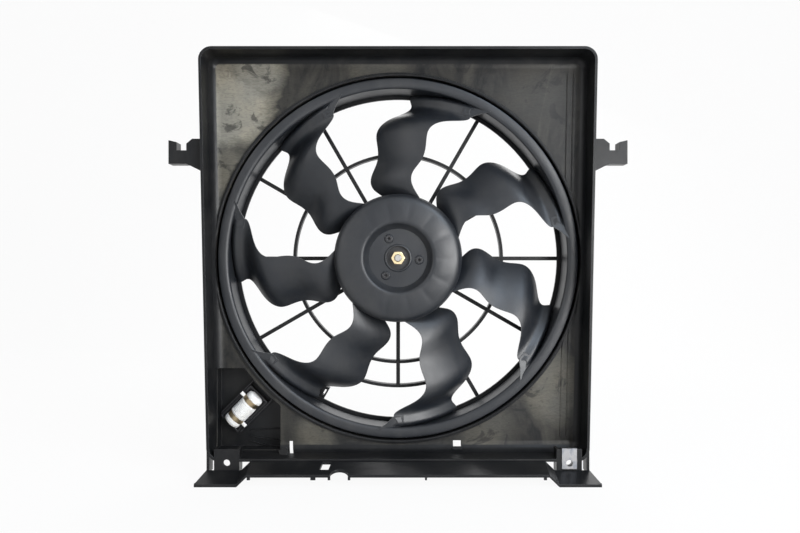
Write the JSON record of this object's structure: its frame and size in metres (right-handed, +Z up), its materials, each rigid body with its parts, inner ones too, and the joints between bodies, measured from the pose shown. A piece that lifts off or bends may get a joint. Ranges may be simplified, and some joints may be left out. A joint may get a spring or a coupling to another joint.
{
  "type": "radiator fan shroud",
  "caption": "Moulded radiator fan shroud with a banded seven-blade fan on an electric motor, carried by a spoked guard, and a ceramic speed resistor in a corner pocket.",
  "frame": {"origin": "on the fan axis, in the plane of the rim that meets the radiator", "axes": "+Z up as installed, +Y along the fan axis away from the radiator, +X to the right seen from the radiator"},
  "size_m": [0.4764, 0.131, 0.4463],
  "materials": {
    "shroud_plastic": "black glass-filled polypropylene, satin, dusty",
    "fan_plastic": "black glass-filled nylon, fine satin",
    "carrier_plastic": "black heat-resistant plastic",
    "grommet_rubber": "soft black",
    "zinc_steel": "zinc plated",
    "black_steel": "black coated screws",
    "yellow_zinc": "yellow passivated zinc",
    "can_steel": "black e-coated steel",
    "shaft_steel": "ground steel",
    "core_steel": "laminated electrical steel",
    "copper_wire": "enamelled copper",
    "commutator_copper": "copper segments",
    "ferrite": "sintered ferrite",
    "carbon": "carbon brush",
    "spring_steel": "spring steel",
    "bronze": "sintered bronze",
    "ceramic_white": "white cement coated ceramic",
    "band_steel": "tinned steel"
  },
  "bodies": {
    "root": {"shroud_tray": "shroud_plastic", "lower_shelf": "shroud_plastic", "shroud_barrel": "shroud_plastic", "stator_guard": "shroud_plastic", "motor_can": "can_steel", "motor_end_plate": "can_steel", "front_bearing": "bronze", "rear_bearing": "bronze", "motor_flange": "can_steel", "motor_screws": "zinc_steel", "lead_grommet": "grommet_rubber", "field_magnets": "ferrite", "brush_card": "carrier_plastic", "brushes": "carbon", "brush_springs": "spring_steel", "resistor_body": "ceramic_white", "resistor_bands": "band_steel", "resistor_carrier": "carrier_plastic", "clip_nut": "zinc_steel"},
    "rotor": {"fan_hub": "fan_plastic", "fan_blades": "fan_plastic", "fan_band": "fan_plastic", "drive_plate": "zinc_steel", "hub_screws": "black_steel", "nut_washer": "zinc_steel", "shaft_nut": "yellow_zinc", "rotor_shaft": "shaft_steel", "armature_core": "core_steel", "armature_windings": "copper_wire", "commutator": "commutator_copper"}
  },
  "joints": [
    {"name": "fan_spin", "type": "hinge", "parent": "root", "child": "rotor", "pos_m": [0, 0.06, 0], "axis": [0, 1, 0], "continuous": true}
  ]
}
